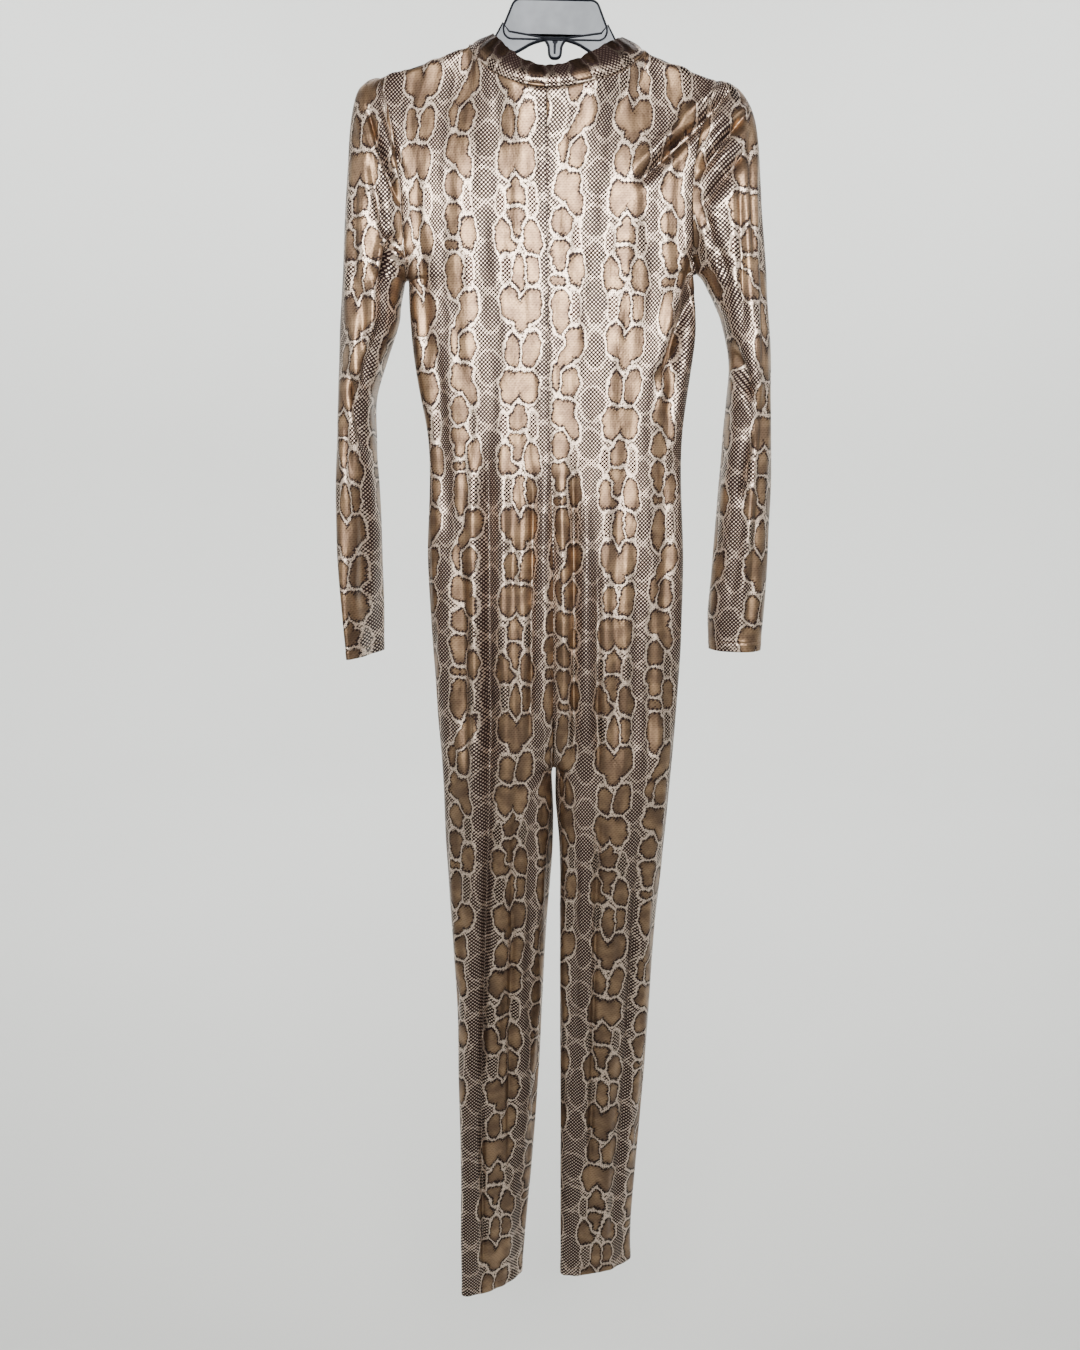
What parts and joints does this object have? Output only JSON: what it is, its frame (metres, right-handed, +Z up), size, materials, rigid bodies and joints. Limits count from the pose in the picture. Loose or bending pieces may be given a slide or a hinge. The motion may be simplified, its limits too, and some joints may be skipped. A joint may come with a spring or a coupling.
{
  "type": "unitard on a hanger",
  "caption": "Long-sleeved full-length unitard with a mock neck and a centre-back zip, hanging open and empty on a plastic hanger with a wire hook.",
  "frame": {"origin": "the point at the top of the hook's inner side, where a rail carries it", "axes": "+Z up, +X towards the wearer's left, +Y towards the wearer's back"},
  "size_m": [0.4822, 0.0895, 1.5763],
  "materials": {
    "cloth": "snake-print stretch knit with a foil sheen",
    "hanger_plastic": "smoke-grey moulded plastic",
    "hook_wire": "plated steel wire",
    "zip_metal": "dulled brass"
  },
  "bodies": {
    "garment": {"front_right": "cloth", "front_left": "cloth", "back_right": "cloth", "back_left": "cloth", "sleeve_right": "cloth", "sleeve_left": "cloth", "neck_band": "cloth", "hanger": "hanger_plastic", "hanger_hook": "hook_wire", "zip_slider": "zip_metal"},
    "pull": {"zip_pull": "zip_metal"}
  },
  "joints": [
    {"name": "pull_swing", "type": "hinge", "parent": "garment", "child": "pull", "pos_m": [-0.0105, 0.03712, -0.12924], "axis": [1, 0, 0], "range_deg": [0, 150]}
  ]
}
